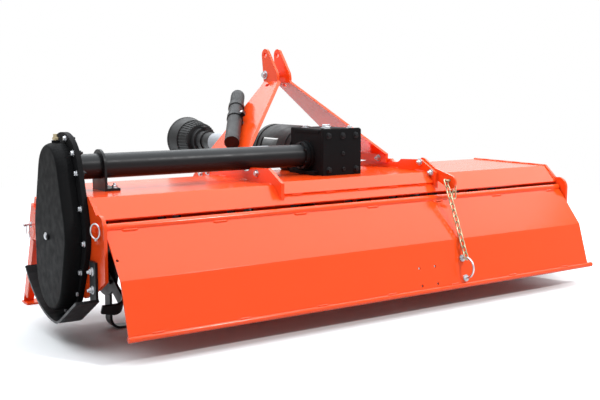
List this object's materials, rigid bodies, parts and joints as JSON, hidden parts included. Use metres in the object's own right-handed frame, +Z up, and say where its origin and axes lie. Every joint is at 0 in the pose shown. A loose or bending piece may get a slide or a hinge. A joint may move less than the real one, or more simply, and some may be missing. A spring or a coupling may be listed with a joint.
{
  "type": "rotary tiller for a three-point hitch",
  "caption": "Tractor-mounted rotary tiller: tined rotor under a deck, side gear case, hinged chain-hung tailgate, skids, mast, guarded driveline and parking stands.",
  "frame": {"origin": "centre of the box on the floor, under the machine", "axes": "+X to the machine's right along the rotor, +Y forward to the tractor, +Z up"},
  "size_m": [2.07, 1.5575, 0.9055],
  "materials": {
    "orange_paint": "satin orange-red powder coat",
    "black_paint": "satin black paint on steel",
    "black_cast": "black painted casting with a fine grain",
    "black_plastic": "matt moulded plastic",
    "zinc_steel": "bright zinc plate",
    "yellow_zinc": "yellow zinc plate"
  },
  "bodies": {
    "frame": {"deck_shell": "orange_paint", "deck_stiffener": "orange_paint", "side_plate_left": "orange_paint", "side_plate_right": "orange_paint", "hitch_plate_left": "orange_paint", "hitch_plate_right": "orange_paint", "mast_leg_left": "orange_paint", "mast_leg_right": "orange_paint", "chain_bracket": "orange_paint", "stand_socket_left": "orange_paint", "stand_socket_right": "orange_paint", "hinge_pin_left": "orange_paint", "hinge_pin_right": "orange_paint", "hitch_pin_left": "zinc_steel", "hitch_pin_right": "zinc_steel", "mast_bolt": "zinc_steel", "stand_pin_left": "zinc_steel", "stand_pin_right": "zinc_steel", "tailgate_chain": "yellow_zinc", "gearcase_breather": "yellow_zinc", "gearbox_housing": "black_cast", "gearbox_cover": "black_cast", "gearbox_cap_left": "black_cast", "gearbox_cap_right": "black_cast", "gearcase_flange": "black_cast", "gearcase_cover": "black_cast", "bearing_hub": "black_cast", "drive_tube": "black_paint", "tube_bracket": "black_paint", "skid_left": "black_paint", "skid_right": "black_paint", "canister_clip": "black_paint", "pto_shield": "black_plastic", "driveline_guard_rear": "black_plastic", "driveline_guard_front": "black_plastic", "manual_canister": "black_plastic"},
    "rotor": {"rotor_shaft": "black_paint", "rotor_tines": "black_paint"},
    "tailgate": {"tailgate_panel": "orange_paint", "tailgate_tube": "orange_paint", "tailgate_rod": "orange_paint", "tailgate_bail": "zinc_steel"},
    "stand_left": {"stand_leg_left": "orange_paint"},
    "stand_right": {"stand_leg_right": "orange_paint"},
    "driveline": {"driveline_shaft": "black_paint"}
  },
  "joints": [
    {"name": "rotor_spin", "type": "hinge", "parent": "frame", "child": "rotor", "pos_m": [0, -0.33011, 0.21], "axis": [1, 0, 0], "continuous": true},
    {"name": "driveline_spin", "type": "hinge", "parent": "frame", "child": "driveline", "pos_m": [0, -0.03011, 0.52], "axis": [0, 1, 0], "continuous": true},
    {"name": "tailgate_lift", "type": "hinge", "parent": "frame", "child": "tailgate", "pos_m": [0, -0.58011, 0.364], "axis": [-1, 0, 0], "range_deg": [0, 50], "deforming": ["tailgate_chain"]},
    {"name": "stand_left_slide", "type": "slide", "parent": "frame", "child": "stand_left", "axis": [0, -0.3987, 0.9171], "range_m": [0, 0.2]},
    {"name": "stand_right_slide", "type": "slide", "parent": "frame", "child": "stand_right", "axis": [0, -0.3987, 0.9171], "range_m": [0, 0.2]}
  ],
  "couplings": [
    {"joint": "driveline_spin", "follows": "rotor_spin", "ratio": -2.45}
  ]
}
